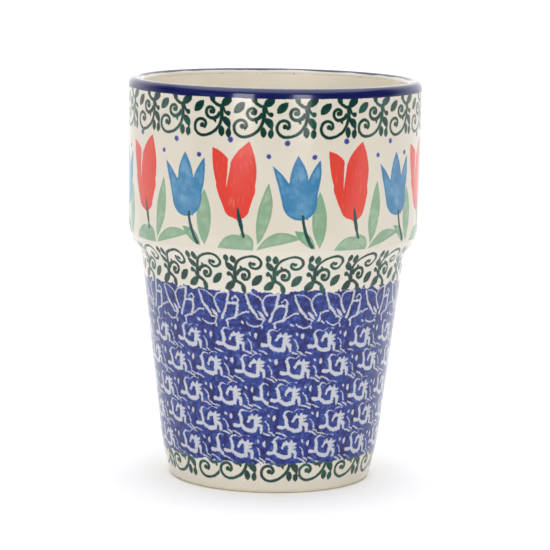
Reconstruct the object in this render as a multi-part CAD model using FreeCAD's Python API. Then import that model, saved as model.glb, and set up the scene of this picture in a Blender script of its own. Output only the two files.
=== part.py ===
import FreeCAD, Part
import math
import os

# Stoneware stacking tumbler, drawn as a stack of rings about one axis.
# Origin: middle of the foot ring, on the surface the tumbler stands on. +Z points out of the mouth. Units: mm.

# Overall size
HEIGHT = 115.5
MOUTH_R = 42.2  # outer radius of the collar just below the lip
COLLAR_FOOT_R = 41.88  # outer radius at the bottom of the collar, which leans out very slightly
COLLAR_FOOT_Z = 70.1

# Shoulder: a convex round under the collar and a tighter hollow where it meets the tapered wall
SHOULDER_ROUND = 11.5
SHOULDER_HOLLOW = 6.0
WALL_TOP_R = 38.14
WALL_TOP_Z = 65.55

# Tapered wall and its curve in towards the foot
WALL_FOOT_R = 31.55
WALL_FOOT_Z = 11.0
WALL_FOOT_ROUND = 60.0

# Foot ring and the shallow recess inside it
FOOT_OUTER_R = 29.0
FOOT_INNER_R = 24.6
FOOT_OUTER_ROUND = 1.0
FOOT_INNER_ROUND = 0.5
RECESS_R = 23.5
RECESS_DEPTH = 1.3

# Inside of the cup: a straight collar, a step that follows the shoulder, a tapered wall and a round floor corner
BORE_R = 38.3
INNER_STEP_TOP_Z = 71.8
INNER_STEP_R = 34.6
INNER_STEP_Z = 67.3
INNER_STEP_ROUND = 7.0
FLOOR_R = 27.3
FLOOR_Z = 6.8
FLOOR_ROUND = 9.0

# Lip, rounded on both sides
LIP_OUTER_ROUND = 1.8
LIP_INNER_ROUND = 1.6

# Fired glaze coats over the clay
GLAZE = 0.25
RIM_BAND_DROP = 3.0  # how far the cobalt band comes down the outside
COLLAR_COAT_END_Z = 70.8  # plain line between the collar's pattern and the shoulder's
GLAZE_END_Z = 1.0  # the outer glaze is wiped back to here, so the foot ring is bare clay

BEYOND_AXIS = -6.0  # sections are drawn a little past the axis and trimmed, so an inset leaves no hole there
FAR = 200.0


def point(r, z):
    return FreeCAD.Vector(r, 0, z)


def round_corner(before, corner, after, radius):
    """Arc that is tangent to the two lines meeting at a corner: its start, middle and end points."""
    back = (before - corner).normalize()
    ahead = (after - corner).normalize()
    half_angle = back.getAngle(ahead) / 2
    start = corner + back * (radius / math.tan(half_angle))
    end = corner + ahead * (radius / math.tan(half_angle))
    bisector = (back + ahead).normalize()
    middle = corner + bisector * (radius / math.sin(half_angle) - radius)
    return start, middle, end


def rounded_face(corners):
    """Planar face from (r, z, corner radius) corners taken in order round the section."""
    points = [point(r, z) for r, z, _ in corners]
    edges = []
    ends = []
    for i, (_, _, radius) in enumerate(corners):
        corner = points[i]
        if radius == 0:
            ends.append((corner, corner))
            continue
        start, middle, end = round_corner(points[i - 1], corner, points[(i + 1) % len(points)], radius)
        edges.append(Part.Arc(start, middle, end).toShape())
        ends.append((start, end))
    for i, (_, leave) in enumerate(ends):
        arrive = ends[(i + 1) % len(ends)][0]
        edges.append(Part.LineSegment(leave, arrive).toShape())
    return Part.Face(Part.Wire(Part.__sortEdges__(edges)))


def rectangle(r_low, z_low, r_high, z_high):
    return rounded_face([(r_low, z_low, 0), (r_high, z_low, 0), (r_high, z_high, 0), (r_low, z_high, 0)])


def cup_section():
    """Finished cup, glaze included: up the outside, over the lip and down the inside."""
    return rounded_face([
        (BEYOND_AXIS, RECESS_DEPTH, 0),
        (RECESS_R, RECESS_DEPTH, FOOT_INNER_ROUND),
        (FOOT_INNER_R, 0, FOOT_INNER_ROUND),
        (FOOT_OUTER_R, 0, FOOT_OUTER_ROUND),
        (WALL_FOOT_R, WALL_FOOT_Z, WALL_FOOT_ROUND),
        (WALL_TOP_R, WALL_TOP_Z, SHOULDER_HOLLOW),
        (COLLAR_FOOT_R, COLLAR_FOOT_Z, SHOULDER_ROUND),
        (MOUTH_R, HEIGHT, LIP_OUTER_ROUND),
        (BORE_R, HEIGHT, LIP_INNER_ROUND),
        (BORE_R, INNER_STEP_TOP_Z, INNER_STEP_ROUND),
        (INNER_STEP_R, INNER_STEP_Z, INNER_STEP_ROUND),
        (FLOOR_R, FLOOR_Z, FLOOR_ROUND),
        (BEYOND_AXIS, FLOOR_Z, 0),
    ])


def coat_section(cup):
    """One coat of glaze all round the cup, wiped off the foot ring."""
    foot_middle_r = (FOOT_INNER_R + FOOT_OUTER_R) / 2
    outer_foot = rectangle(foot_middle_r, -1, FAR, GLAZE_END_Z)
    inner_foot = rectangle(RECESS_R, -1, foot_middle_r, RECESS_DEPTH + GLAZE)
    return cup.cut(cup.makeOffset2D(-GLAZE)).cut(outer_foot).cut(inner_foot)


def cavity_zone():
    """Everything on the inner side of a line that runs down the middle of the wall."""
    wall_middle_r = (INNER_STEP_R + WALL_TOP_R) / 2
    foot_middle_r = (FLOOR_R + WALL_FOOT_R) / 2
    collar_middle_r = (BORE_R + MOUTH_R) / 2
    floor_middle_z = (RECESS_DEPTH + FLOOR_Z) / 2
    return rounded_face([
        (BEYOND_AXIS, floor_middle_z, 0),
        (foot_middle_r, floor_middle_z, 0),
        (wall_middle_r, INNER_STEP_Z, 0),
        (collar_middle_r, COLLAR_FOOT_Z, 0),
        (collar_middle_r, FAR, 0),
        (BEYOND_AXIS, FAR, 0),
    ])


def turned(section):
    """Ring made by turning the part of a section that lies on the +X side of the axis."""
    half = section.common(rectangle(0, -FAR, FAR, FAR))
    if len(half.Faces) != 1:
        raise ValueError("a section should be one face, not %d" % len(half.Faces))
    return half.Faces[0].revolve(FreeCAD.Vector(0, 0, 0), FreeCAD.Vector(0, 0, 1), 360)


def build_sections():
    """Section of each node. The coats meet the clay and each other face to face."""
    cup = cup_section()
    coat = coat_section(cup)

    over_lip = rectangle(BORE_R - 1, HEIGHT - LIP_INNER_ROUND, FAR, FAR)
    down_outside = rectangle((BORE_R + MOUTH_R) / 2, HEIGHT - RIM_BAND_DROP, FAR, HEIGHT)
    below_lip = coat.cut(over_lip).cut(down_outside)
    inside = below_lip.common(cavity_zone())
    outside = below_lip.cut(cavity_zone())
    recess = rectangle(BEYOND_AXIS, -1, RECESS_R, RECESS_DEPTH + GLAZE)
    return {
        "stoneware_body": cup.cut(coat),
        "inner_glaze": inside,
        "rim_band": coat.cut(below_lip),
        "collar_glaze": outside.common(rectangle(0, COLLAR_COAT_END_Z, FAR, FAR)),
        "wall_glaze": outside.cut(recess).common(rectangle(0, 0, FAR, COLLAR_COAT_END_Z)),
        "base_glaze": outside.common(recess),
    }


os.makedirs("parts", exist_ok=True)
for name, section in build_sections().items():
    solid = turned(section)
    solid.exportStep("parts/%s.step" % name)
    box = solid.optimalBoundingBox(False)
    print("%-15s %-6s valid=%s volume=%.1f mm3  r<=%.2f  z %.2f..%.2f" % (
        name, solid.ShapeType, solid.isValid(), solid.Volume, box.XMax, box.ZMin, box.ZMax))
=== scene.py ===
import math

import bpy
from mathutils import Matrix, Vector


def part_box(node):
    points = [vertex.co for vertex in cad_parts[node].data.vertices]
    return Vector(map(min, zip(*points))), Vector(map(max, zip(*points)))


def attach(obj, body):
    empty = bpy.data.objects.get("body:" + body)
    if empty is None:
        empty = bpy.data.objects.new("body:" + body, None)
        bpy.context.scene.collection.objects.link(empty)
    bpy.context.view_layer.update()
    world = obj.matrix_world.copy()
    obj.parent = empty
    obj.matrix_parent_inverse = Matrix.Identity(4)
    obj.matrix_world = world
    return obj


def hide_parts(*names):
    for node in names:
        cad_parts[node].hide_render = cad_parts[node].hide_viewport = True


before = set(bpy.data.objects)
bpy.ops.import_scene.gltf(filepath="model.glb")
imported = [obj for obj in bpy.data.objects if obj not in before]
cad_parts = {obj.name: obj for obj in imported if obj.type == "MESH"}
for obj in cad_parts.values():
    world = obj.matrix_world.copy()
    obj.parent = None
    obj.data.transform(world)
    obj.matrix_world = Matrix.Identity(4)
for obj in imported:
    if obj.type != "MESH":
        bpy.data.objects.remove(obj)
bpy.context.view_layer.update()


# ------------------------------------------------------------------ clay cup
# The cup itself: pale buff stoneware, slip cast in one piece and fired to about 1250 C. Everything
# but the foot ring is hidden by glaze; the ring is wiped bare so that it doesn't stick to the kiln
# shelf, and shows as fine matte clay with a few iron specks.

MM = 0.001
GLAZE = 0.25
TURN_STEPS = 240
SAME_POINT = 0.004

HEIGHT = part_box("rim_band")[1].z / MM
BORE_R = 38.3
LIP_R = 42.2
FOOT_R = 29.0
FOOT_TAPER = 0.23
GLAZE_END_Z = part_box("wall_glaze")[0].z / MM
SEAM_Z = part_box("collar_glaze")[0].z / MM
BAND_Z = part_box("rim_band")[0].z / MM
LIP_INNER_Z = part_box("inner_glaze")[1].z / MM
RECESS_Z = 1.3
RECESS_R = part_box("base_glaze")[1].x / MM

# (radius, height, rounding) of each corner, from the end of the glaze up the outside and over the lip
OUTSIDE = [
    (FOOT_R + FOOT_TAPER * GLAZE_END_Z, GLAZE_END_Z, 0.0),
    (31.55, 11.0, 60.0),
    (38.14, 65.55, 6.0),
    (41.88, 70.1, 11.5),
    (LIP_R, HEIGHT, 1.8),
    (BORE_R, HEIGHT, 1.6),
]
# and on down the inside to the middle of the floor
INSIDE = [
    (BORE_R, 71.8, 7.0),
    (34.6, 67.3, 7.0),
    (27.3, 6.8, 9.0),
    (0.0, 6.8, 0.0),
]


def rounded(corners, arc_step=0.35, line_step=1.5):
    """Points along an outline whose corners are arcs: short steps round an arc, longer along a line."""
    points = [Vector(corners[0][:2])]
    for before, corner, after in zip(corners, corners[1:], corners[2:]):
        here = Vector(corner[:2])
        back = (Vector(before[:2]) - here).normalized()
        ahead = (Vector(after[:2]) - here).normalized()
        half = back.angle(ahead) / 2
        reach = corner[2] / math.tan(half)
        centre = here + (back + ahead).normalized() * (corner[2] / math.sin(half))
        start = here + back * reach - centre
        turn = start.angle_signed(here + ahead * reach - centre)
        steps = max(4, round(abs(turn) * corner[2] / arc_step))
        points += straight(points[-1], centre + start, line_step)
        for i in range(1, steps + 1):
            angle = -turn * i / steps
            across = Vector((-start.y, start.x))
            points.append(centre + start * math.cos(angle) + across * math.sin(angle))
    return points + straight(points[-1], Vector(corners[-1][:2]), line_step)


def straight(start, end, step):
    """Evenly spaced points after start, up to and with end."""
    count = max(1, round((end - start).length / step))
    return [start.lerp(end, i / count) for i in range(1, count + 1)]


def inset(points, depth):
    """The same outline moved into the wall, square to itself."""
    moved = []
    for i, point in enumerate(points):
        along = (points[min(i + 1, len(points) - 1)] - points[max(i - 1, 0)]).normalized()
        moved.append(point + Vector((-along.y, along.x)) * depth)
    return moved


def nearest(points, r, z):
    """Index of the outline point closest to a place."""
    return min(range(len(points)), key=lambda i: (points[i] - Vector((r, z))).length)


def turned(name, outline, closed):
    """A ring or bowl: its section, drawn as a chain of edges and spun about the cup's axis."""
    bpy.ops.object.select_all(action="DESELECT")
    bpy.ops.mesh.primitive_plane_add(size=MM)
    piece = bpy.context.active_object
    piece.name = piece.data.name = name
    bpy.ops.object.mode_set(mode="EDIT")
    bpy.ops.mesh.merge(type="CENTER")
    places = [Vector((r, 0, z)) * MM for r, z in outline]
    bpy.ops.transform.translate(value=places[0])
    for here, there in zip(places, places[1:]):
        bpy.ops.mesh.extrude_vertices_move(TRANSFORM_OT_translate={"value": there - here})
    bpy.ops.mesh.select_all(action="SELECT")
    if closed:
        bpy.ops.object.mode_set(mode="OBJECT")
        for edge in piece.data.edges:
            edge.select = False
        for vertex in piece.data.vertices:
            vertex.select = vertex.index in (0, len(places) - 1)
        bpy.ops.object.mode_set(mode="EDIT")
        bpy.ops.mesh.edge_face_add()
        bpy.ops.mesh.select_all(action="SELECT")
    bpy.ops.mesh.spin(steps=TURN_STEPS, angle=2 * math.pi, center=(0, 0, 0), axis=(0, 0, 1))
    bpy.ops.mesh.select_all(action="SELECT")
    bpy.ops.mesh.remove_doubles(threshold=SAME_POINT * MM)
    bpy.ops.mesh.normals_make_consistent(inside=False)
    bpy.ops.object.mode_set(mode="OBJECT")
    bpy.ops.object.shade_smooth_by_angle(angle=math.radians(40))
    return piece


def add(tree, kind, inputs=(), output=0, **settings):
    """Add a node, set its options, fill its inputs by order or name, and return an output or the node."""
    node = tree.nodes.new("ShaderNode" + kind)
    for option, value in settings.items():
        setattr(node, option, value)
    for socket, value in inputs.items() if isinstance(inputs, dict) else enumerate(inputs):
        if isinstance(value, bpy.types.NodeSocket):
            tree.links.new(value, node.inputs[socket])
        elif value is not None:
            node.inputs[socket].default_value = value
    return node if output is None else node.outputs[output]


def paint(code):
    """Linear colour from an sRGB hex value."""
    parts = [int(code[i:i + 2], 16) / 255 for i in (1, 3, 5)]
    return [p / 12.92 if p <= 0.04045 else ((p + 0.055) / 1.055) ** 2.4 for p in parts] + [1.0]


def new_material(name, piece):
    """An empty node material on a piece, and the place on the cup in mm that patterns are drawn from."""
    material = bpy.data.materials.new(name)
    material.use_nodes = True
    tree = material.node_tree
    tree.nodes.clear()
    piece.data.materials.clear()
    piece.data.materials.append(material)
    metres = add(tree, "TexCoord", output="Object")
    return tree, add(tree, "VectorMath", [metres, (1 / MM,) * 3], operation="MULTIPLY")


skin = rounded(OUTSIDE + INSIDE)
clay = inset(skin, GLAZE)
# underneath, from the middle of the recess out to the foot ring's outer edge
recess = [
    (0.0, RECESS_Z + GLAZE),
    (RECESS_R, RECESS_Z + GLAZE),
    (RECESS_R, RECESS_Z - 0.1),
    (24.1, 0.5),
    (24.5, 0.15),
    (24.9, 0.0),
]
foot_ring = [
    (26.5, 0.0),
    (28.1, 0.0),
    (28.5, 0.1),
    (28.85, 0.4),
]
clay_cup = turned("clay_cup", recess + foot_ring + [skin[0]] + clay, False)

# Buff stoneware, wiped with a wet sponge before the firing: matte, with a fine sandy grain and specks of
# iron about 0.4 mm across
CLAY_PALE = paint("#DCD0BA")
CLAY_WARM = paint("#CDBDA2")
CLAY_SAND = paint("#E6DDCB")
CLAY_IRON = paint("#7A5A3C")
tree, place = new_material("wiped stoneware clay", clay_cup)
sand = add(tree, "TexNoise", {"Vector": place, "Scale": 1 / 0.35, "Detail": 4.0})
cloud = add(tree, "TexNoise", {"Vector": place, "Scale": 1 / 7.0, "Detail": 3.0})
iron = add(tree, "TexVoronoi", {"Vector": place, "Scale": 1 / 1.6, "Randomness": 1.0}, "Distance")
iron = add(tree, "MapRange", [iron, 0.16, 0.08], interpolation_type="SMOOTHSTEP")
surface = add(tree, "Mix", {"Factor": cloud, "A": CLAY_PALE, "B": CLAY_WARM}, "Result", data_type="RGBA")
surface = add(tree, "Mix", {"Factor": sand, "A": surface, "B": CLAY_SAND}, "Result", data_type="RGBA")
surface = add(tree, "Mix", {"Factor": iron, "A": surface, "B": CLAY_IRON}, "Result", data_type="RGBA")
grain = add(tree, "Math", [sand, 0.05], operation="MULTIPLY")
grain = add(tree, "Bump", {"Height": grain, "Distance": MM}, "Normal")
bare_clay = add(
    tree, "BsdfPrincipled",
    {"Base Color": surface, "Roughness": 0.85, "IOR": 1.5, "Normal": grain, "Diffuse Roughness": 0.6})
add(tree, "OutputMaterial", [bare_clay], None)
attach(clay_cup, "root")
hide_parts("stoneware_body")


# ------------------------------------------------------------------ inside glaze
# Clear feldspar glaze over a cream slip, poured in and tipped out again, so it runs from just below
# the lip down to the floor as one even coat. Dinner-plate gloss with a slow ripple and a rare iron speck.

RIPPLE = 0.09
PEEL = 0.0035
CREAM = paint("#DAD4C7")
CREAM_THICK = paint("#D4CBBA")
# painted light: the inside cream is painted lighter than the outside cream, to lift the shade inside the
# cup
CREAM_INSIDE_PAINTED_LIGHT = paint("#F7F1E4")
GLAZE_SPECK = paint("#6B5137")


def coat(name, first, last):
    """A glaze layer over part of the outline, from its outer face down to the clay."""
    ring = skin[first:last + 1] + clay[first:last + 1][::-1]
    return turned(name, ring, skin[last].x > SAME_POINT)


def glazed(tree, place, colour):
    """Finish a material with the clear gloss glaze: its slow ripple, orange peel and iron specks."""
    ripple = add(tree, "TexNoise", {"Vector": place, "Scale": 1 / 11.0, "Detail": 1.0})
    peel = add(tree, "TexNoise", {"Vector": place, "Scale": 1 / 1.3, "Detail": 0.0})
    height = add(tree, "Math", [ripple, RIPPLE], operation="MULTIPLY")
    height = add(tree, "Math", [peel, PEEL, height], operation="MULTIPLY_ADD")
    bumpy = add(tree, "Bump", {"Height": height, "Distance": MM}, "Normal")
    speck = add(tree, "TexVoronoi", {"Vector": place, "Scale": 1 / 5.5, "Randomness": 1.0}, "Distance")
    speck = add(tree, "MapRange", [speck, 0.034, 0.014], interpolation_type="SMOOTHSTEP")
    speck = add(tree, "Math", [speck, 0.35], operation="MULTIPLY")
    colour = add(tree, "Mix", {"Factor": speck, "A": colour, "B": GLAZE_SPECK}, "Result", data_type="RGBA")
    gloss = add(tree, "MapRange", [ripple, 0.3, 0.7, 0.09, 0.15])
    shader = add(
        tree, "BsdfPrincipled", {"Base Color": colour, "Roughness": gloss, "IOR": 1.46, "Normal": bumpy})
    add(tree, "OutputMaterial", [shader], None)


lip = nearest(skin, BORE_R, LIP_INNER_Z)
inside_coat = coat("inside_coat", lip, len(skin) - 1)
tree, place = new_material("cream gloss glaze, inside", inside_coat)
cloud = add(tree, "TexNoise", {"Vector": place, "Scale": 1 / 16.0, "Detail": 2.0})
parts = add(tree, "SeparateXYZ", [place]).node.outputs
# the colour turns darker towards the floor, from 22 mm up down to it, with a slow cloud over it
darker_to_floor = add(tree, "MapRange", [parts["Z"], 22.0, 7.0, 0.0, 0.8], interpolation_type="SMOOTHSTEP")
darker_to_floor = add(tree, "Math", [cloud, 0.5, darker_to_floor], operation="MULTIPLY_ADD", use_clamp=True)
colour = add(tree, "Mix", {"Factor": darker_to_floor, "A": CREAM_INSIDE_PAINTED_LIGHT, "B": CREAM_THICK}, "Result", data_type="RGBA")
glazed(tree, place, colour)
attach(inside_coat, "root")
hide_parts("inner_glaze")


# ------------------------------------------------------------------ base glaze
# The shallow recess inside the foot ring is glazed too, thinner and less even than the inside, because
# the cup stands on its rim while it is done. The ring round it stays bare clay.

floor_coat = [
    (0.0, RECESS_Z),
    (8.0, RECESS_Z),
    (16.0, RECESS_Z),
    (RECESS_R - 1.0, RECESS_Z),
    (RECESS_R, RECESS_Z),
    (RECESS_R, RECESS_Z + GLAZE),
    (0.0, RECESS_Z + GLAZE),
]
CREAM_THIN = paint("#D8CDB8")
base_coat = turned("base_coat", floor_coat, False)
tree, place = new_material("cream gloss glaze, base", base_coat)
cloud = add(tree, "TexNoise", {"Vector": place, "Scale": 1 / 9.0, "Detail": 4.0})
thin = add(tree, "MapRange", [cloud, 0.42, 0.66], interpolation_type="SMOOTHSTEP")
colour = add(tree, "Mix", {"Factor": thin, "A": CREAM, "B": CREAM_THIN}, "Result", data_type="RGBA")
glazed(tree, place, colour)
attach(base_coat, "root")
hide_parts("base_glaze")


# ------------------------------------------------------------------ cobalt rim
# A band of cobalt slip laid on with a soft brush while the cup turns on a wheel, from just inside the lip
# to 3 mm down the outside, under the clear glaze. Its lower edge wanders a little, and the first
# marks of the stamped vine hang out from under it.

VINE_DARK = paint("#0B342D")
VINE_LIGHT = paint("#1F5549")
NAVY = paint("#11174D")
NAVY_THIN = paint("#222A66")
BAND_OUTER_Z = 112.8
BAND_INNER_Z = 115.0
INK_SPREAD = 0.05
UPPER_VINE = {"Start": 0.0, "Count": 22.0, "Height": 113.0, "Radius": 42.1, "Scatter": 0.3, "Tilt": 0.03}


def new_group(name, inputs, outputs):
    """An empty node group: its tree, the sockets that it is given and the sockets that it has to fill."""
    tree = bpy.data.node_groups.new(name, "ShaderNodeTree")
    for label, kind in inputs.items():
        tree.interface.new_socket(label, in_out="INPUT", socket_type="NodeSocket" + kind)
    for label, kind in outputs.items():
        tree.interface.new_socket(label, in_out="OUTPUT", socket_type="NodeSocket" + kind)
    return tree, tree.nodes.new("NodeGroupInput").outputs, tree.nodes.new("NodeGroupOutput").inputs


# Leaf: two arcs that meet at a base and a tip. Bend bows its spine to the left, seen from the base
leaf, given, wanted = new_group(
    "leaf mark",
    {"Place": "Vector", "Base": "Vector", "Tip": "Vector", "Half width": "Float", "Bend": "Float"},
    {"Distance": "Float"})
spine = add(leaf, "VectorMath", [given["Tip"], given["Base"]], operation="SUBTRACT")
ahead = add(leaf, "VectorMath", [spine], operation="NORMALIZE")
left = add(leaf, "VectorMath", [(0, 0, 1), ahead], operation="CROSS_PRODUCT")
half = add(leaf, "VectorMath", [spine, (0.5, 0.5, 0.5)], operation="MULTIPLY")
half = add(leaf, "VectorMath", [half], "Value", operation="LENGTH")
reach = add(leaf, "VectorMath", [given["Place"], given["Base"]], operation="SUBTRACT")
along = add(leaf, "VectorMath", [reach, ahead], "Value", operation="DOT_PRODUCT")
across = add(leaf, "VectorMath", [reach, left], "Value", operation="DOT_PRODUCT")
from_middle = add(leaf, "Math", [along, half], operation="SUBTRACT")
share = add(leaf, "Math", [from_middle, half], operation="DIVIDE")
share_squared = add(leaf, "Math", [share, share], operation="MULTIPLY")
bow = add(leaf, "Math", [1.0, share_squared], operation="SUBTRACT")
bow = add(leaf, "Math", [bow, given["Bend"]], operation="MULTIPLY")
off_spine = add(leaf, "Math", [across, bow], operation="SUBTRACT")
off_spine = add(leaf, "Math", [off_spine], operation="ABSOLUTE")
half_squared = add(leaf, "Math", [half, half], operation="MULTIPLY")
width = given["Half width"]
flank = add(leaf, "Math", [width, width, half_squared], operation="MULTIPLY_ADD")
flank = add(leaf, "Math", [flank, width], operation="DIVIDE")
flank = add(leaf, "Math", [flank, 2.0], operation="DIVIDE")
behind = add(leaf, "Math", [flank, width], operation="SUBTRACT")
off_centre = add(leaf, "Math", [off_spine, behind], operation="ADD")
radius = add(leaf, "CombineXYZ", [from_middle, off_centre])
radius = add(leaf, "VectorMath", [radius], "Value", operation="LENGTH")
leaf.links.new(add(leaf, "Math", [radius, flank], operation="SUBTRACT"), wanted["Distance"])

# Stroke: a line with round ends that can taper. Bend bows it to the left, seen from its start
stroke, given, wanted = new_group(
    "stroke mark",
    {"Place": "Vector", "Start": "Vector", "End": "Vector",
     "Half width": "Float", "End half width": "Float", "Bend": "Float"},
    {"Distance": "Float"})
line = add(stroke, "VectorMath", [given["End"], given["Start"]], operation="SUBTRACT")
reach = add(stroke, "VectorMath", [given["Place"], given["Start"]], operation="SUBTRACT")
line_squared = add(stroke, "VectorMath", [line, line], "Value", operation="DOT_PRODUCT")
along = add(stroke, "VectorMath", [reach, line], "Value", operation="DOT_PRODUCT")
along = add(stroke, "Math", [along, line_squared], operation="DIVIDE", use_clamp=True)
left = add(stroke, "VectorMath", [(0, 0, 1), line], operation="CROSS_PRODUCT")
left = add(stroke, "VectorMath", [left], operation="NORMALIZE")
rest = add(stroke, "Math", [1.0, along], operation="SUBTRACT")
bow = add(stroke, "Math", [along, rest], operation="MULTIPLY")
bow = add(stroke, "Math", [bow, given["Bend"]], operation="MULTIPLY")
bow = add(stroke, "Math", [bow, 4.0], operation="MULTIPLY")
spine = add(stroke, "VectorMath", {"Vector": line, "Scale": along}, operation="SCALE")
bowed = add(stroke, "VectorMath", {"Vector": left, "Scale": bow}, operation="SCALE")
spine = add(stroke, "VectorMath", [spine, bowed], operation="ADD")
off_spine = add(stroke, "VectorMath", [reach, spine], operation="SUBTRACT")
off_spine = add(stroke, "VectorMath", [off_spine], "Value", operation="LENGTH")
swell = add(stroke, "Math", [given["End half width"], given["Half width"]], operation="SUBTRACT")
half_width = add(stroke, "Math", [swell, along, given["Half width"]], operation="MULTIPLY_ADD")
stroke.links.new(add(stroke, "Math", [off_spine, half_width], operation="SUBTRACT"), wanted["Distance"])

# Scroll: a spiral line from an inner to an outer radius. From is where it starts, in turns from the right,
# and Turns below zero runs clockwise
OFF_THE_END = 10.0
scroll, given, wanted = new_group(
    "scroll mark",
    {"Place": "Vector", "Centre": "Vector", "From": "Float", "Turns": "Float", "Radius": "Float",
     "End radius": "Float", "Half width": "Float", "End half width": "Float"},
    {"Distance": "Float"})
reach = add(scroll, "VectorMath", [given["Place"], given["Centre"]], operation="SUBTRACT")
radius = add(scroll, "VectorMath", [reach], "Value", operation="LENGTH")
parts = add(scroll, "SeparateXYZ", [reach]).node.outputs
angle = add(scroll, "Math", [parts["Y"], parts["X"]], operation="ARCTAN2")
turn = add(scroll, "Math", [angle, 2 * math.pi], operation="DIVIDE")
turn = add(scroll, "Math", [turn, given["From"]], operation="SUBTRACT")
way = add(scroll, "Math", [given["Turns"]], operation="SIGN")
turns = add(scroll, "Math", [given["Turns"]], operation="ABSOLUTE")
turn = add(scroll, "Math", [turn, way], operation="MULTIPLY")
turn = add(scroll, "Math", [turn], operation="FRACT")
growth = add(scroll, "Math", [given["End radius"], given["Radius"]], operation="SUBTRACT")
growth = add(scroll, "Math", [growth, turns], operation="DIVIDE")
first = add(scroll, "Math", [growth, turn, given["Radius"]], operation="MULTIPLY_ADD")
lap = add(scroll, "Math", [radius, first], operation="SUBTRACT")
lap = add(scroll, "Math", [lap, growth], operation="DIVIDE")
lap = add(scroll, "Math", [lap], operation="ROUND")
lap = add(scroll, "Math", [lap, 0.0], operation="MAXIMUM")
turn = add(scroll, "Math", [turn, lap], operation="ADD")
line = add(scroll, "Math", [growth, turn, given["Radius"]], operation="MULTIPLY_ADD")
off_line = add(scroll, "Math", [radius, line], operation="SUBTRACT")
off_line = add(scroll, "Math", [off_line], operation="ABSOLUTE")
swell = add(scroll, "Math", [given["End half width"], given["Half width"]], operation="SUBTRACT")
swell = add(scroll, "Math", [swell, turns], operation="DIVIDE")
half_width = add(scroll, "Math", [swell, turn, given["Half width"]], operation="MULTIPLY_ADD")
distance = add(scroll, "Math", [off_line, half_width], operation="SUBTRACT")
past_end = add(scroll, "Math", [turn, turns], operation="GREATER_THAN")
distance = add(scroll, "Math", [past_end, OFF_THE_END, distance], operation="MULTIPLY_ADD")
scroll.links.new(distance, wanted["Distance"])

# Dot
dot, given, wanted = new_group(
    "dot mark", {"Place": "Vector", "Centre": "Vector", "Radius": "Float"}, {"Distance": "Float"})
reach = add(dot, "VectorMath", [given["Place"], given["Centre"]], "Value", operation="DISTANCE")
dot.links.new(add(dot, "Math", [reach, given["Radius"]], operation="SUBTRACT"), wanted["Distance"])


def draw(tree, place, marks):
    """Distance in mm from a place to the nearest of several marks, below zero inside one."""
    closest = None
    for mark, *sizes in marks:
        sizes = [(*size, 0.0) if isinstance(size, tuple) else size for size in sizes]
        distance = add(tree, "Group", [place, *sizes], node_tree=mark)
        if closest is not None:
            distance = add(tree, "Math", [closest, distance], operation="MINIMUM")
        closest = distance
    return closest


# Row of stamps round the cup: turns a place on the cup into mm right and up from the middle of the nearest
# stamp, and gives how far the stamp's edge is. Start is the first stamp's left edge, in turns from the
# front. A Count that isn't whole leaves the last stamp cut off by the first, as hand stamping does. Split
# moves the middle to one side, Lean tips the edges, and Scatter and Tilt are how unevenly it is set
row, given, wanted = new_group(
    "row of stamps",
    {"Place": "Vector", "Start": "Float", "Count": "Float", "Height": "Float", "Radius": "Float",
     "Split": "Float", "Lean": "Float", "Scatter": "Float", "Tilt": "Float", "Seed": "Float"},
    {"Place": "Vector", "Side": "Float", "Stamp": "Float"})
parts = add(row, "SeparateXYZ", [given["Place"]], None).outputs
front = add(row, "Math", [parts["Y"], -1.0], operation="MULTIPLY")
angle = add(row, "Math", [parts["X"], front], operation="ARCTAN2")
turn = add(row, "Math", [angle, 2 * math.pi], operation="DIVIDE")
turn = add(row, "Math", [turn, given["Start"]], operation="SUBTRACT")
turn = add(row, "Math", [turn], operation="FRACT")
cells = add(row, "Math", [turn, given["Count"], -0.5], operation="MULTIPLY_ADD")
pitch = add(row, "Math", [given["Radius"], 2 * math.pi], operation="MULTIPLY")
pitch = add(row, "Math", [pitch, given["Count"]], operation="DIVIDE")
up = add(row, "Math", [parts["Z"], given["Height"]], operation="SUBTRACT")
tip_over = add(row, "Math", [up, given["Lean"]], operation="MULTIPLY")
tip_share = add(row, "Math", [tip_over, pitch], operation="DIVIDE")
cell = add(row, "Math", [cells, tip_share], operation="SUBTRACT")
cell = add(row, "Math", [cell], operation="ROUND")
right = add(row, "Math", [cells, cell], operation="SUBTRACT")
right = add(row, "Math", [right, pitch], operation="MULTIPLY")
off_middle = add(row, "Math", [right, tip_over], operation="SUBTRACT")
off_middle = add(row, "Math", [off_middle], operation="ABSOLUTE")
side = add(row, "Math", [pitch, 0.5], operation="MULTIPLY")
side = add(row, "Math", [side, off_middle], operation="SUBTRACT")
right = add(row, "Math", [right, given["Split"]])
stamp = add(row, "Math", [cell, given["Count"]], operation="FLOORED_MODULO")
stamp = add(row, "Math", [stamp, given["Seed"]], operation="ADD")
chance = add(row, "TexWhiteNoise", {"W": stamp}, None, noise_dimensions="1D").outputs
shift = add(row, "VectorMath", [chance["Color"], (0.5, 0.5, 0.5)], operation="SUBTRACT")
shift = add(row, "VectorMath", {"Vector": shift, "Scale": given["Scatter"]}, operation="SCALE")
tilt = add(row, "Math", [chance["Value"], 0.5], operation="SUBTRACT")
tilt = add(row, "Math", [tilt, given["Tilt"]], operation="MULTIPLY")
flat = add(row, "CombineXYZ", [right, up])
flat = add(row, "VectorMath", [flat, shift])
flat = add(row, "VectorRotate", {"Vector": flat, "Angle": tilt}, rotation_type="Z_AXIS")
flat = add(row, "VectorMath", [flat, (1.0, 1.0, 0.0)], operation="MULTIPLY")
row.links.new(flat, wanted["Place"])
row.links.new(side, wanted["Side"])
row.links.new(stamp, wanted["Stamp"])


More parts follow.
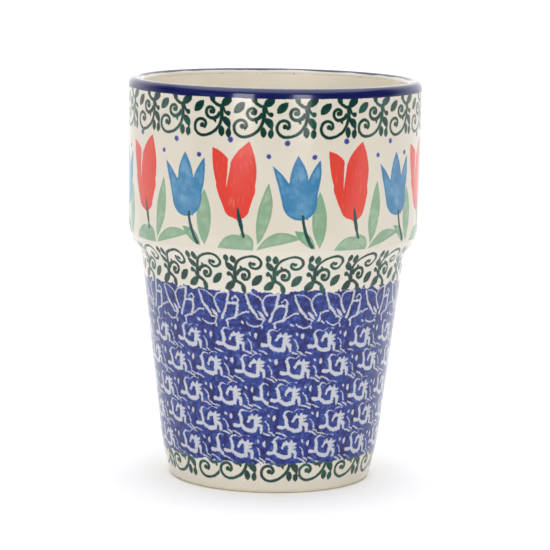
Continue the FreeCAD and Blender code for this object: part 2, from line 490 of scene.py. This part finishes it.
def unsteady(tree, place, size, amount):
    """A place pushed about by up to half an amount in mm, so that lines drawn from it waver."""
    push = add(tree, "TexNoise", {"Vector": place, "Scale": 1 / size, "Detail": 1.0}, "Color")
    push = add(tree, "VectorMath", [push, (0.5, 0.5, 0.5)], operation="SUBTRACT")
    push = add(tree, "VectorMath", {"Vector": push, "Scale": amount}, operation="SCALE")
    return add(tree, "VectorMath", [place, push])


# The vine's rubber stamp, in mm from the middle of the edge that it hangs from
vine, given, wanted = new_group("vine stamp", {"Place": "Vector"}, {"Distance": "Float"})
VINE = [
    (leaf, (-0.1, 1.0), (0.75, -1.9), 0.75, -0.1),
    (stroke, (0.35, -1.2), (2.75, -2.6), 0.42, 0.45, -0.2),
    (leaf, (2.9, -2.5), (6.1, -0.25), 1.1, 0.2),
    (stroke, (2.8, -2.4), (3.0, -6.0), 0.48, 0.55, 0.05),
    (stroke, (3.4, -2.6), (4.3, -4.5), 0.38, 0.36, -0.2),
    (dot, (4.85, -4.6), 0.68),
    (leaf, (-5.4, -4.3), (-2.4, -1.3), 1.12, 0.0),
    (scroll, (-0.13, -4.15), -0.167, 0.96, 0.47, 1.95, 0.42, 0.44),
    (dot, (-0.13, -4.2), 0.62),
    (scroll, (-0.2, -3.14), -0.27, 0.21, 2.95, 2.95, 0.42, 0.62),
    (leaf, (0.6, -5.8), (1.05, -7.2), 0.38, 0.0),
    (scroll, (-3.05, -7.95), -0.167, 0.97, 0.68, 2.98, 0.45, 0.38),
    (dot, (-3.05, -7.95), 0.68),
    (scroll, (-2.78, -5.17), -0.25, 0.24, 5.62, 5.62, 0.36, 0.45),
    (leaf, (2.8, -5.5), (5.3, -8.7), 0.95, 0.45),
    (stroke, (5.1, -8.0), (5.15, -9.3), 0.3, 0.22, 0.0),
    (leaf, (2.75, -7.95), (2.9, -11.0), 0.86, 0.0),
    (leaf, (4.9, -8.6), (4.8, -11.2), 0.8, 0.0),
]
vine.links.new(draw(vine, given["Place"], VINE), wanted["Distance"])


def inked(tree, place, distance, soft, rough):
    """How much ink is at a distance in mm from a mark's edge: soft there, and rough as on a fired print."""
    bite = add(tree, "TexNoise", {"Vector": place, "Scale": 1 / 0.45, "Detail": 2.0})
    bite = add(tree, "Math", [bite, 0.5], operation="SUBTRACT")
    distance = add(tree, "Math", [bite, rough, distance], operation="MULTIPLY_ADD")
    return add(tree, "MapRange", [distance, soft, -soft], interpolation_type="SMOOTHSTEP")


def stamped_vine(tree, place, under, cell_place, stamp):
    """Print the vine over a colour in chrome green ink, some stamps darker and some drier than others."""
    distance = add(tree, "Group", [cell_place], node_tree=vine)
    distance = add(tree, "Math", [distance, INK_SPREAD], operation="SUBTRACT")
    cover = inked(tree, place, distance, 0.14, 0.3)
    wet = add(tree, "TexNoise", {"Vector": place, "Scale": 1 / 2.6, "Detail": 2.0})
    luck = add(tree, "TexWhiteNoise", {"W": stamp}, noise_dimensions="1D")
    wet = add(tree, "Math", [luck, 0.25, wet], operation="MULTIPLY_ADD")
    ink = add(tree, "MapRange", [wet, 0.5, 0.95], interpolation_type="SMOOTHSTEP")
    ink = add(tree, "Mix", {"Factor": ink, "A": VINE_DARK, "B": VINE_LIGHT}, "Result", data_type="RGBA")
    return add(tree, "Mix", {"Factor": cover, "A": under, "B": ink}, "Result", data_type="RGBA")


band = nearest(skin, LIP_R, BAND_Z)
rim_coat = coat("rim_coat", band, lip)
tree, place = new_material("cobalt slip under gloss glaze", rim_coat)
drawn = unsteady(tree, place, 4.0, 0.35)
stamps = add(tree, "Group", {"Place": drawn, **UPPER_VINE}, None, node_tree=row).outputs
colour = stamped_vine(tree, place, CREAM, stamps["Place"], stamps["Stamp"])
parts = add(tree, "SeparateXYZ", [unsteady(tree, place, 9.0, 0.6)], None).outputs
outer_edge = add(tree, "Math", [BAND_OUTER_Z, parts["Z"]], operation="SUBTRACT")
# inside the lip the slip stops half a millimetre down, where the cream glaze was wiped up to it
across = add(tree, "VectorMath", [place, (1.0, 1.0, 0.0)], operation="MULTIPLY")
across = add(tree, "VectorMath", [across], "Value", operation="LENGTH")
inside = add(tree, "Math", [across, (BORE_R + LIP_R) / 2], operation="LESS_THAN")
inner_edge = add(tree, "Math", [BAND_INNER_Z, parts["Z"]], operation="SUBTRACT")
brush = add(tree, "Mix", {"Factor": inside, "A": outer_edge, "B": inner_edge}, "Result", data_type="FLOAT")
cover = inked(tree, place, brush, 0.12, 0.25)
# brush streaks run round the rim, with thinner slip between them
streak_place = add(tree, "VectorMath", [place, (0.12, 0.12, 2.2)], operation="MULTIPLY")
streak = add(tree, "TexNoise", {"Vector": streak_place, "Scale": 1.0, "Detail": 2.0})
streak = add(tree, "MapRange", [streak, 0.45, 0.75], interpolation_type="SMOOTHSTEP")
slip = add(tree, "Mix", {"Factor": streak, "A": NAVY, "B": NAVY_THIN}, "Result", data_type="RGBA")
colour = add(tree, "Mix", {"Factor": cover, "A": colour, "B": slip}, "Result", data_type="RGBA")
glazed(tree, place, colour)
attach(rim_coat, "root")
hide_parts("rim_band")


# ------------------------------------------------------------------ collar glaze
# The straight collar above the shoulder, on the cream glaze: the stamped vine hangs from the rim, and
# below it eight pairs of tulips, red and blue, are brushed on in thin underglaze colours that let the
# cream through. Dots are touched on last with the end of a stick.

COLLAR_FOOT_R = 41.4
TULIP_Z = 88.0
RED_X = -8.3
BLUE_X = 8.4
RED = paint("#D84438")
RED_THIN = paint("#E2766B")
BLUE = paint("#3C7AA4")
BLUE_THIN = paint("#74A3C1")
LEAF = paint("#84A386")
LEAF_THIN = paint("#9DB49A")
LEAF_DARK = paint("#729D7C")
STEM = paint("#1C4643")
DOT = paint("#3F4798")

# Marks in mm, up from TULIP_Z, and sideways from above the red flower's lowest point or from the tip of
# the blue one's middle petal
RED_PETALS = [
    (leaf, (0.0, -9.2), (-7.7, 10.6), 1.75, 0.35),
    (leaf, (-7.7, 10.7), (-3.0, 0.5), 1.9, 1.2),
    (stroke, (-1.1, -5.6), (-3.4, 0.4), 2.7, 2.9, 0.0),
    (leaf, (0.2, -9.2), (3.1, 12.9), 3.6, 0.3),
    (stroke, (0.3, -5.6), (1.0, -0.8), 3.2, 3.9, 0.0),
    (leaf, (-2.2, -4.0), (3.0, 12.9), 2.0, 1.3),
]
RED_SLIT = [
    (stroke, (-2.45, 9.0), (-3.2, 0.3), 0.55, 0.04, 0.0),
]
BLUE_PETALS = [
    (leaf, (-1.0, -8.5), (-7.2, 6.3), 1.5, -0.85),
    (leaf, (0.4, -8.0), (0.0, 9.3), 2.7, 0.0),
    (leaf, (2.6, -8.7), (6.2, 8.0), 1.85, 0.4),
    (stroke, (0.5, -3.8), (0.5, -2.2), 4.9, 5.0, 0.0),
    (stroke, (-2.6, -3.5), (-4.7, 1.6), 1.9, 1.0, 0.0),
    (stroke, (3.6, -3.5), (4.9, 1.6), 1.8, 0.9, 0.0),
]
RED_LEAVES = [
    (leaf, (-5.8, -17.1), (4.0, -14.8), 1.65, 1.2),
    (leaf, (-5.4, -17.0), (4.4, -17.2), 1.3, 1.1),
    (leaf, (1.0, -12.7), (4.4, -17.4), 1.45, 0.5),
]
RED_UPRIGHT = [
    (leaf, (5.8, -15.7), (8.6, 1.6), 1.9, -0.4),
]
BLUE_LEAVES = [
    (leaf, (-11.2, -17.1), (1.3, -13.7), 1.6, 1.45),
]
BLUE_UPRIGHT = [
    (leaf, (6.5, -16.5), (6.3, -1.0), 2.25, 0.1),
]
BLUE_DARK_LEAVES = [
    (leaf, (-0.8, -11.6), (5.2, -16.8), 1.35, 0.5),
]
RED_STEM = [
    (leaf, (0.0, -5.0), (2.0, -13.8), 0.6, -0.1),
    (stroke, (0.3, -6.2), (2.0, -13.6), 0.36, 0.36, -0.1),
]
BLUE_STEM = [
    (stroke, (1.5, -7.5), (4.3, -16.0), 0.4, 0.55, -0.65),
]
RED_DOTS = [
    (dot, (-2.3, 13.1), 0.8),
]
BLUE_DOTS = [
    (dot, (-3.0, 12.6), 0.76),
    (dot, (-8.1, 8.9), 0.66),
    (dot, (4.5, 8.8), 0.7),
]


def brushed(tree, place, under, distance, full, thin, wash):
    """Lay a brushed colour over another: thin where the wash is, and pooled darker along its edge."""
    cover = inked(tree, place, distance, 0.11, 0.18)
    pooled = add(tree, "MapRange", [distance, -0.9, -0.1, 0.0, 0.55], interpolation_type="SMOOTHSTEP")
    thinned = add(tree, "Math", [wash, pooled], operation="SUBTRACT", use_clamp=True)
    colour = add(tree, "Mix", {"Factor": thinned, "A": full, "B": thin}, "Result", data_type="RGBA")
    return add(tree, "Mix", {"Factor": cover, "A": under, "B": colour}, "Result", data_type="RGBA")


seam = nearest(skin, COLLAR_FOOT_R, SEAM_Z)
collar_coat = coat("collar_coat", seam, band)
tree, place = new_material("brushed underglaze tulips on cream glaze", collar_coat)
drawn = unsteady(tree, place, 9.0, 0.9)
drawn = unsteady(tree, drawn, 0.9, 0.16)
painted = add(
    tree, "Group",
    {"Place": drawn, "Start": -0.0664, "Count": 8.0, "Height": TULIP_Z, "Radius": 42.0, "Split": 0.6,
     "Lean": -0.045, "Scatter": 0.5, "Tilt": 0.035},
    None, node_tree=row).outputs
cell_place = painted["Place"]
wash = add(tree, "TexNoise", {"Vector": place, "Scale": 1 / 3.2, "Detail": 3.0})
wash = add(tree, "MapRange", [wash, 0.35, 0.75], interpolation_type="SMOOTHSTEP")
bristle_place = add(tree, "VectorMath", [place, (1.6, 1.6, 0.25)], operation="MULTIPLY")
bristle = add(tree, "TexNoise", {"Vector": bristle_place, "Scale": 1.0, "Detail": 3.0})
bristle = add(tree, "MapRange", [bristle, 0.5, 0.8], interpolation_type="SMOOTHSTEP")
cloud = add(tree, "TexNoise", {"Vector": place, "Scale": 1 / 18.0, "Detail": 2.0})
colour = add(tree, "Mix", {"Factor": cloud, "A": CREAM, "B": CREAM_THICK}, "Result", data_type="RGBA")
red_place = add(tree, "VectorMath", [cell_place, (RED_X, 0.0, 0.0)], operation="SUBTRACT")
blue_place = add(tree, "VectorMath", [cell_place, (BLUE_X, 0.0, 0.0)], operation="SUBTRACT")
for flower_place, leaves, full in (
        (red_place, RED_LEAVES, LEAF), (blue_place, BLUE_LEAVES, LEAF), (red_place, RED_UPRIGHT, LEAF),
        (blue_place, BLUE_UPRIGHT, LEAF), (blue_place, BLUE_DARK_LEAVES, LEAF_DARK)):
    distance = draw(tree, flower_place, leaves)
    colour = brushed(tree, place, colour, distance, full, LEAF_THIN, wash)
petals = draw(tree, red_place, RED_PETALS)
slit = draw(tree, red_place, RED_SLIT)
slit = add(tree, "Math", [slit, -1.0], operation="MULTIPLY")
petals = add(tree, "Math", [petals, slit], operation="MAXIMUM")
red_wash = add(tree, "Math", [wash, bristle], operation="MULTIPLY")
colour = brushed(tree, place, colour, petals, RED, RED_THIN, red_wash)
petals = draw(tree, blue_place, BLUE_PETALS)
blue_wash = add(tree, "Math", [wash, red_wash], operation="ADD")
blue_wash = add(tree, "Math", [blue_wash, 0.6], operation="MULTIPLY")
colour = brushed(tree, place, colour, petals, BLUE, BLUE_THIN, blue_wash)
red_stem = draw(tree, red_place, RED_STEM)
blue_stem = draw(tree, blue_place, BLUE_STEM)
stems = add(tree, "Math", [red_stem, blue_stem], operation="MINIMUM")
cover = inked(tree, place, stems, 0.12, 0.2)
colour = add(tree, "Mix", {"Factor": cover, "A": colour, "B": STEM}, "Result", data_type="RGBA")
red_dots = draw(tree, red_place, RED_DOTS)
blue_dots = draw(tree, blue_place, BLUE_DOTS)
dots = add(tree, "Math", [red_dots, blue_dots], operation="MINIMUM")
cover = inked(tree, place, dots, 0.2, 0.2)
colour = add(tree, "Mix", {"Factor": cover, "A": colour, "B": DOT}, "Result", data_type="RGBA")
drawn = unsteady(tree, place, 4.0, 0.35)
stamps = add(tree, "Group", {"Place": drawn, **UPPER_VINE}, None, node_tree=row).outputs
colour = stamped_vine(tree, place, colour, stamps["Place"], stamps["Stamp"])
glazed(tree, place, colour)
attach(collar_coat, "root")
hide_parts("collar_glaze")


# ------------------------------------------------------------------ wall glaze
# The tapered wall under the shoulder, cream glaze printed by hand with small cut sponges and stamps: the
# vine again, upside down round the shoulder, a row of open flowers, five rows of blue scrollwork that
# leaves the cream showing as curled marks, and the vine once more above the foot.

FIELD_TOP = 58.9
FIELD_BOTTOM = 8.9
FIELD_TOP_RAGGED = 4.5
FIELD_BOTTOM_RAGGED = 3.0
# the green vine is kept out of the field from this far inside its lower edge
VINE_SHOWS = 1.3
# a row of scrolls ends this far above its stamps' middles, and the next one starts there
ROW_TOP = 4.1
# radius of the wall that the rows lie on: mm for each mm up, and at the table
ROW_TAPER = 0.121
ROW_FOOT_R = 30.2
# heights along the shoulder's wall: mm for each mm up, mm for each mm out, and where they start
SHOULDER_UP = 0.95
SHOULDER_OUT = 0.41
SHOULDER_START = -12.39
FIELD = paint("#192E7E")
FIELD_DARK = paint("#060B58")
FIELD_LIGHT = paint("#3C589A")
FIELD_HAZE = paint("#93A2C2")
FOOT_VINE = {"Start": -0.0761, "Count": 16.64, "Height": 14.6, "Radius": 31.6, "Scatter": 0.5, "Tilt": 0.06}
SHOULDER_VINE = {
    "Start": -0.1047, "Count": 21.0, "Height": 59.2, "Radius": 41.3, "Scatter": 0.5, "Tilt": 0.05}
FLOWER_ROW = {"Start": 0.0614, "Count": 16.65, "Height": 49.1, "Radius": 36.5, "Scatter": 0.6, "Tilt": 0.1}
# (height, first stamp's left edge in turns, stamps in the round)
SCROLL_ROWS = [
    (13.0, 0.934, 16.35),
    (20.8, 0.466, 16.6),
    (28.6, 0.998, 17.36),
    (36.7, 0.492, 17.4),
    (44.2, 0.455, 17.0),
]
# a ramp's colours run from 0 to 1, so it holds heights and counts as shares of these
RAMP_HEIGHT = 60.0
RAMP_COUNT = 20.0
# cream marks of one scroll, in mm from its middle
CURL = [
    (stroke, (-7.4, -0.8), (-5.5, -0.8), 0.62, 0.5, -0.15),
    (stroke, (-5.5, -0.6), (-5.95, 2.5), 0.5, 0.5, -0.25),
    (stroke, (-5.95, 2.5), (-3.7, 3.4), 0.42, 0.16, 0.8),
    (stroke, (-3.2, 3.4), (-0.5, 3.9), 0.13, 0.17, 0.6),
    (stroke, (-5.4, -0.6), (-3.3, -2.1), 0.5, 0.6, -0.25),
    (stroke, (-3.4, -2.0), (-1.5, -1.8), 0.66, 0.64, -0.2),
    (stroke, (-1.4, -2.0), (-1.2, 1.6), 0.5, 0.66, 0.0),
    (stroke, (-1.3, 1.6), (-3.5, 0.7), 0.62, 0.5, -0.85),
    (leaf, (-1.6, 1.3), (0.7, 2.1), 0.5, 0.0),
    (leaf, (-1.6, 0.5), (0.6, 0.9), 0.46, 0.0),
    (leaf, (-1.5, 0.8), (-0.8, 3.1), 0.55, 0.0),
    (leaf, (-2.2, 1.6), (-2.6, 3.0), 0.4, 0.0),
    (stroke, (-1.0, -0.05), (0.2, -0.6), 0.56, 0.56, 0.0),
    (stroke, (0.3, -0.8), (0.35, -2.4), 0.54, 0.4, 0.0),
    (leaf, (3.8, 1.0), (3.9, 2.9), 0.52, 0.1),
    (leaf, (1.9, 3.1), (2.3, 2.0), 0.36, 0.0),
    (stroke, (-8.3, -2.5), (-5.2, -4.0), 0.22, 0.26, 0.3),
    (stroke, (1.1, -2.7), (3.5, -4.0), 0.26, 0.3, 0.2),
    (stroke, (2.5, -2.2), (4.2, -3.4), 0.22, 0.26, 0.1),
    (stroke, (1.5, 0.9), (2.6, -1.6), 0.18, 0.24, 0.3),
]
# cream lines between the petals, from just left of a flower's middle
FLOWER = [
    (stroke, (-5.7, 9.2), (-4.2, 5.2), 0.3, 0.4, -0.1),
    (stroke, (-4.2, 5.2), (-1.9, 2.2), 0.5, 0.3, 0.1),
    (stroke, (-1.9, 2.1), (-0.3, 1.7), 0.3, 0.26, 0.1),
    (stroke, (-5.6, 9.3), (-0.9, 7.3), 0.14, 0.24, 0.6),
    (stroke, (-0.9, 7.3), (0.6, 3.4), 0.3, 0.4, -0.25),
    (leaf, (-2.0, 4.4), (0.3, 1.8), 0.5, 0.0),
    (stroke, (-0.7, 7.3), (0.9, 9.1), 0.24, 0.28, 0.35),
    (stroke, (0.9, 9.1), (3.3, 9.4), 0.28, 0.34, 0.0),
    (stroke, (3.4, 9.4), (2.8, 5.4), 0.42, 0.34, 0.1),
    (stroke, (2.8, 5.4), (1.4, 1.7), 0.3, 0.44, 0.0),
    (stroke, (3.1, 6.0), (4.9, 6.1), 0.34, 0.36, 0.2),
    (stroke, (4.6, 7.3), (6.1, 7.2), 0.3, 0.34, 0.8),
    (stroke, (6.1, 7.0), (4.7, 6.5), 0.4, 0.4, 0.6),
    (stroke, (5.9, 6.2), (5.2, 2.0), 0.34, 0.42, 0.25),
    (stroke, (5.1, 1.9), (2.6, 1.0), 0.3, 0.34, -0.2),
    (stroke, (5.4, 2.0), (7.8, 3.4), 0.28, 0.26, 0.25),
    (stroke, (2.9, 0.9), (3.2, -1.0), 0.36, 0.28, 0.0),
    (stroke, (-4.9, 0.8), (-1.0, 0.2), 0.26, 0.28, -0.7),
    (stroke, (-1.0, 0.2), (-0.3, 1.7), 0.24, 0.22, 0.0),
    (stroke, (-0.6, 0.0), (-0.5, -1.5), 0.28, 0.24, 0.0),
    (stroke, (-6.8, 3.2), (-4.6, 3.9), 0.26, 0.3, 0.2),
    (leaf, (-6.9, 1.2), (-5.6, 0.2), 0.34, 0.0),
]

wall_coat = coat("wall_coat", 0, seam)
tree, place = new_material("sponge printed underglaze on cream glaze", wall_coat)
cloud = add(tree, "TexNoise", {"Vector": place, "Scale": 1 / 18.0, "Detail": 2.0})
colour = add(tree, "Mix", {"Factor": cloud, "A": CREAM, "B": CREAM_THICK}, "Result", data_type="RGBA")

# vine above the foot: its first and last stamps overlap a little left of the front
drawn = unsteady(tree, place, 3.0, 0.35)
stamps = add(tree, "Group", {"Place": drawn, **FOOT_VINE}, None, node_tree=row).outputs
colour = stamped_vine(tree, place, colour, stamps["Place"], stamps["Stamp"])

# the scrollwork: each place takes the height, start and count of the row that it is in
drawn = unsteady(tree, place, 2.6, 0.6)
drawn = unsteady(tree, drawn, 0.7, 0.35)
parts = add(tree, "SeparateXYZ", [drawn], None).outputs
clear = add(tree, "Math", [parts["Z"], FIELD_BOTTOM + VINE_SHOWS], operation="GREATER_THAN")
colour = add(tree, "Mix", {"Factor": clear, "A": colour, "B": CREAM}, "Result", data_type="RGBA")
share = add(tree, "Math", [parts["Z"], RAMP_HEIGHT], operation="DIVIDE")
ramp = add(tree, "ValToRGB", [share], None)
ramp.color_ramp.interpolation = "CONSTANT"
stops = ramp.color_ramp.elements
edge = 0.0
for height, start, count in SCROLL_ROWS:
    stop = stops.new(edge) if edge else stops[0]
    stop.color = (height / RAMP_HEIGHT, start, count / RAMP_COUNT, 1.0)
    edge = (height + ROW_TOP) / RAMP_HEIGHT
stops.remove(stops[-1])
this_row = add(tree, "SeparateColor", [ramp.outputs["Color"]], None).outputs
row_height = add(tree, "Math", [this_row["Red"], RAMP_HEIGHT], operation="MULTIPLY")
row_count = add(tree, "Math", [this_row["Blue"], RAMP_COUNT], operation="MULTIPLY")
row_radius = add(tree, "Math", [row_height, ROW_TAPER, ROW_FOOT_R], operation="MULTIPLY_ADD")
curls = add(
    tree, "Group",
    {"Place": drawn, "Start": this_row["Green"], "Count": row_count, "Height": row_height,
     "Radius": row_radius, "Split": -2.0, "Scatter": 0.5, "Tilt": 0.12, "Seed": row_height},
    None, node_tree=row).outputs
curl_cream = draw(tree, curls["Place"], CURL)
flowers = add(tree, "Group", {"Place": drawn, **FLOWER_ROW}, None, node_tree=row).outputs
flower_cream = draw(tree, flowers["Place"], FLOWER)
in_flowers = add(tree, "Math", [parts["Z"], SCROLL_ROWS[-1][0] + ROW_TOP], operation="GREATER_THAN")
cream = add(
    tree, "Mix", {"Factor": in_flowers, "A": curl_cream, "B": flower_cream}, "Result", data_type="FLOAT")

ragged = add(tree, "TexNoise", {"Vector": place, "Scale": 1 / 2.2, "Detail": 2.0})
ragged = add(tree, "Math", [ragged, 0.5], operation="SUBTRACT")
above = add(tree, "Math", [parts["Z"], FIELD_TOP], operation="SUBTRACT")
above = add(tree, "Math", [ragged, FIELD_TOP_RAGGED, above], operation="MULTIPLY_ADD")
below = add(tree, "Math", [FIELD_BOTTOM, parts["Z"]], operation="SUBTRACT")
below = add(tree, "Math", [ragged, FIELD_BOTTOM_RAGGED, below], operation="MULTIPLY_ADD")
field = add(tree, "Math", [above, below], operation="MAXIMUM")
bare = add(tree, "Math", [cream, -1.0, -INK_SPREAD], operation="MULTIPLY_ADD")
printed = add(tree, "Math", [field, bare], operation="MAXIMUM")
cover = inked(tree, place, printed, 0.16, 0.65)
haze = inked(tree, place, field, 0.3, 0.5)

# two strengths of cobalt blue: dark where stamps overlap and the sponge was full, light where it was dry
sponge = add(tree, "TexNoise", {"Vector": place, "Scale": 1 / 1.5, "Detail": 4.0, "Roughness": 0.65})
overlap = add(tree, "MapRange", [curls["Side"], 1.5, 0.0, 0.0, 0.10], interpolation_type="SMOOTHSTEP")
sponge = add(tree, "Math", [sponge, overlap], operation="ADD")
dark = add(tree, "MapRange", [sponge, 0.50, 0.62], interpolation_type="SMOOTHSTEP")
light = add(tree, "MapRange", [sponge, 0.46, 0.34], interpolation_type="SMOOTHSTEP")
blue = add(tree, "Mix", {"Factor": dark, "A": FIELD, "B": FIELD_DARK}, "Result", data_type="RGBA")
blue = add(tree, "Mix", {"Factor": light, "A": blue, "B": FIELD_LIGHT}, "Result", data_type="RGBA")
haze = add(tree, "Math", [haze, 0.5], operation="MULTIPLY")
colour = add(tree, "Mix", {"Factor": haze, "A": colour, "B": FIELD_HAZE}, "Result", data_type="RGBA")
colour = add(tree, "Mix", {"Factor": cover, "A": colour, "B": blue}, "Result", data_type="RGBA")

# vine round the shoulder: heights are measured along the wall, which flares out here
drawn = unsteady(tree, place, 3.0, 0.35)
parts = add(tree, "SeparateXYZ", [drawn], None).outputs
out = add(tree, "CombineXYZ", [parts["X"], parts["Y"]])
out = add(tree, "VectorMath", [out], "Value", operation="LENGTH")
up_wall = add(tree, "Math", [parts["Z"], SHOULDER_UP, SHOULDER_START], operation="MULTIPLY_ADD")
up_wall = add(tree, "Math", [out, SHOULDER_OUT, up_wall], operation="MULTIPLY_ADD")
drawn = add(tree, "CombineXYZ", [parts["X"], parts["Y"], up_wall])
stamps = add(tree, "Group", {"Place": drawn, **SHOULDER_VINE}, None, node_tree=row).outputs
upside_down = add(tree, "VectorMath", [stamps["Place"], (-1.0, -1.0, 1.0)], operation="MULTIPLY")
colour = stamped_vine(tree, place, colour, upside_down, stamps["Stamp"])
glazed(tree, place, colour)
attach(wall_coat, "root")
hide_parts("wall_glaze")


# ------------------------------------------------------------------ studio
# White paper that ends 35 cm in front of the cup, white overhead and behind, a dim room on the camera's
# side, and two upright softboxes standing in it.

PAPER_SIZE = 4.0
PAPER_FRONT = 0.35
WHITE = (1.0, 1.0, 1.0, 1.0)

bpy.ops.object.select_all(action="DESELECT")
bpy.ops.mesh.primitive_plane_add(size=PAPER_SIZE, location=(0, PAPER_SIZE / 2 - PAPER_FRONT, 0))
sweep = bpy.context.active_object
sweep.name = "studio_floor"
bpy.ops.object.transform_apply(location=True, rotation=False, scale=False)
white = bpy.data.materials.new("white paper")
white.use_nodes = True
tree = white.node_tree
tree.nodes.clear()
paper = add(tree, "BsdfDiffuse", {"Color": paint("#EFEFEF")})
add(tree, "OutputMaterial", [paper], None)
sweep.data.materials.append(white)

world = bpy.data.worlds.new("white studio")
bpy.context.scene.world = world
world.use_nodes = True
tree = world.node_tree
tree.nodes.clear()
towards = add(tree, "SeparateXYZ", [add(tree, "TexCoord", output="Generated")], None).outputs
# dim on the camera's side, bright behind the cup and straight above it
dim = add(tree, "MapRange", [towards["Y"], 0.1, 0.75, 0.07, 1.5], interpolation_type="SMOOTHSTEP")
overhead = add(tree, "MapRange", [towards["Z"], 0.55, 0.85, 0.0, 2.4], interpolation_type="SMOOTHSTEP")
room = add(tree, "Math", [dim, overhead], operation="MAXIMUM")
room = add(tree, "Background", {"Color": WHITE, "Strength": room})
backdrop = add(tree, "Background", {"Color": WHITE, "Strength": 1.0})
seen = add(tree, "LightPath", output="Is Camera Ray")
surroundings = add(tree, "MixShader", [seen, room, backdrop])
add(tree, "OutputWorld", [surroundings], None)
bpy.context.scene.view_settings.view_transform = "Standard"


def softbox(name, angle, width, height, middle, away, radiance):
    """An upright white panel turned towards the cup: degrees from the front, sizes in metres."""
    panel = bpy.data.lights.new(name, "AREA")
    panel.shape = "RECTANGLE"
    panel.size = width
    panel.size_y = height
    panel.energy = radiance * math.pi * width * height
    lamp = bpy.data.objects.new(name, panel)
    bpy.context.scene.collection.objects.link(lamp)
    turn = math.radians(angle)
    lamp.location = (away * math.sin(turn), -away * math.cos(turn), middle)
    lamp.rotation_euler = (math.radians(90), 0, turn)


softbox("softbox left", angle=-24.0, width=0.42, height=0.62, middle=0.26, away=1.6, radiance=7.0)
softbox("softbox right", angle=20.5, width=0.39, height=0.62, middle=0.26, away=1.6, radiance=7.0)


# ------------------------------------------------------------------ camera
# A long lens 6 cm above the lip, looking slightly down at the cup and leaning a degree.

CAMERA_AWAY = 800
CAMERA_HEIGHT = 174.1
LOOK_DOWN = 8.24
LOOK_RIGHT = 0.058
LEANING = 1.0
lens = bpy.data.cameras.new("camera")
lens.sensor_width = 36
lens.lens = 182.2
camera = bpy.data.objects.new("camera", lens)
bpy.context.scene.collection.objects.link(camera)
camera.location = (0, -CAMERA_AWAY * MM, CAMERA_HEIGHT * MM)
camera.rotation_mode = "QUATERNION"
aim = Matrix.Rotation(math.radians(-LOOK_RIGHT), 4, "Z")
aim = aim @ Matrix.Rotation(math.radians(90 - LOOK_DOWN), 4, "X")
aim = aim @ Matrix.Rotation(math.radians(LEANING), 4, "Z")
camera.rotation_quaternion = aim.to_quaternion()
bpy.context.scene.camera = camera
